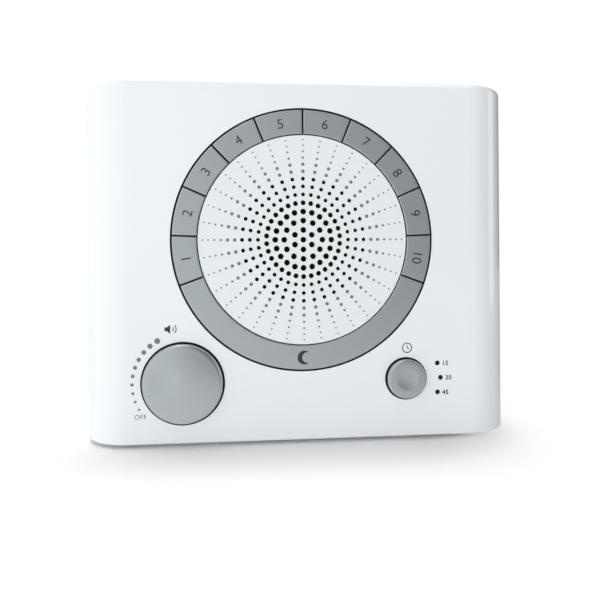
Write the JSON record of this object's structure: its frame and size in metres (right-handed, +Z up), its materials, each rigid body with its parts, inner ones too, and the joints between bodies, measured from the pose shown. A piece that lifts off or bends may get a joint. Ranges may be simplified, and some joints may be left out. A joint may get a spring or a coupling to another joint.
{
  "type": "white noise sound machine",
  "caption": "Bedside sound machine: white box with rounded upright edges, round perforated grille inside a ring of silver keys, volume knob and timer button.",
  "frame": {"origin": "on the floor under the middle of the whole object", "axes": "+Z up, -Y out of the front face, +X to the right seen from the front"},
  "size_m": [0.184, 0.0604, 0.1525],
  "materials": {
    "case_white": "gloss white moulding",
    "silver_key": "satin silver-grey moulding",
    "rubber_grey": "matte",
    "soft_rubber": "matte",
    "circuit_board": "solder mask",
    "black_plastic": "matte",
    "lamp_lens": "clear, unlit",
    "steel": "zinc plated",
    "copper": "enamelled wire",
    "paper_cone": "pressed pulp",
    "ferrite": "sintered, dark",
    "cell_wrap": "printed sleeve, plain",
    "lead_wire": "insulated"
  },
  "bodies": {
    "case": {"aa_cells": "cell_wrap", "battery_contacts": "steel", "battery_leads": "lead_wire", "board_connector": "black_plastic", "board_screws": "steel", "capacitors": "black_plastic", "case_screws": "steel", "dc_jack": "black_plastic", "frame_screws": "steel", "front_housing": "case_white", "grille_frame": "case_white", "inlet_leads": "lead_wire", "key_board": "circuit_board", "key_board_screws": "steel", "key_switches": "black_plastic", "main_board": "circuit_board", "night_light_leds": "lamp_lens", "rear_cover": "case_white", "rubber_feet": "rubber_grey", "sound_chip": "black_plastic", "speaker_basket": "steel", "speaker_cap": "paper_cone", "speaker_cone": "paper_cone", "speaker_leads": "lead_wire", "speaker_magnet": "ferrite", "speaker_screws": "steel", "speaker_surround": "soft_rubber", "timer_leds": "lamp_lens", "timer_switch": "black_plastic", "voice_coil": "copper", "volume_pot": "black_plastic"},
    "key_1": {"sound_key_1": "silver_key"},
    "key_2": {"sound_key_2": "silver_key"},
    "key_3": {"sound_key_3": "silver_key"},
    "key_4": {"sound_key_4": "silver_key"},
    "key_5": {"sound_key_5": "silver_key"},
    "key_6": {"sound_key_6": "silver_key"},
    "key_7": {"sound_key_7": "silver_key"},
    "key_8": {"sound_key_8": "silver_key"},
    "key_9": {"sound_key_9": "silver_key"},
    "key_10": {"sound_key_10": "silver_key"},
    "night_key": {"night_light_key": "silver_key"},
    "timer_key": {"timer_button": "silver_key"},
    "knob": {"volume_knob": "silver_key", "volume_shaft": "steel"},
    "door": {"battery_door": "case_white"}
  },
  "joints": [
    {"name": "sound_key_1_press", "type": "slide", "parent": "case", "child": "key_1", "axis": [0, 1, 0], "range_m": [0, 0.0006], "stiffness_N_per_m": 500},
    {"name": "sound_key_2_press", "type": "slide", "parent": "case", "child": "key_2", "axis": [0, 1, 0], "range_m": [0, 0.0006], "stiffness_N_per_m": 500},
    {"name": "sound_key_3_press", "type": "slide", "parent": "case", "child": "key_3", "axis": [0, 1, 0], "range_m": [0, 0.0006], "stiffness_N_per_m": 500},
    {"name": "sound_key_4_press", "type": "slide", "parent": "case", "child": "key_4", "axis": [0, 1, 0], "range_m": [0, 0.0006], "stiffness_N_per_m": 500},
    {"name": "sound_key_5_press", "type": "slide", "parent": "case", "child": "key_5", "axis": [0, 1, 0], "range_m": [0, 0.0006], "stiffness_N_per_m": 500},
    {"name": "sound_key_6_press", "type": "slide", "parent": "case", "child": "key_6", "axis": [0, 1, 0], "range_m": [0, 0.0006], "stiffness_N_per_m": 500},
    {"name": "sound_key_7_press", "type": "slide", "parent": "case", "child": "key_7", "axis": [0, 1, 0], "range_m": [0, 0.0006], "stiffness_N_per_m": 500},
    {"name": "sound_key_8_press", "type": "slide", "parent": "case", "child": "key_8", "axis": [0, 1, 0], "range_m": [0, 0.0006], "stiffness_N_per_m": 500},
    {"name": "sound_key_9_press", "type": "slide", "parent": "case", "child": "key_9", "axis": [0, 1, 0], "range_m": [0, 0.0006], "stiffness_N_per_m": 500},
    {"name": "sound_key_10_press", "type": "slide", "parent": "case", "child": "key_10", "axis": [0, 1, 0], "range_m": [0, 0.0006], "stiffness_N_per_m": 500},
    {"name": "night_light_press", "type": "slide", "parent": "case", "child": "night_key", "axis": [0, 1, 0], "range_m": [0, 0.0006], "stiffness_N_per_m": 900},
    {"name": "timer_press", "type": "slide", "parent": "case", "child": "timer_key", "axis": [0, 1, 0], "range_m": [0, 0.0008], "stiffness_N_per_m": 500},
    {"name": "volume_turn", "type": "hinge", "parent": "case", "child": "knob", "pos_m": [-0.0504, -0.02575, 0.02635], "axis": [0, 1, 0], "range_deg": [-45, 45]},
    {"name": "battery_door_open", "type": "hinge", "parent": "case", "child": "door", "pos_m": [0, 0.02915, 0.0408], "axis": [-1, 0, 0], "range_deg": [0, 80]}
  ]
}
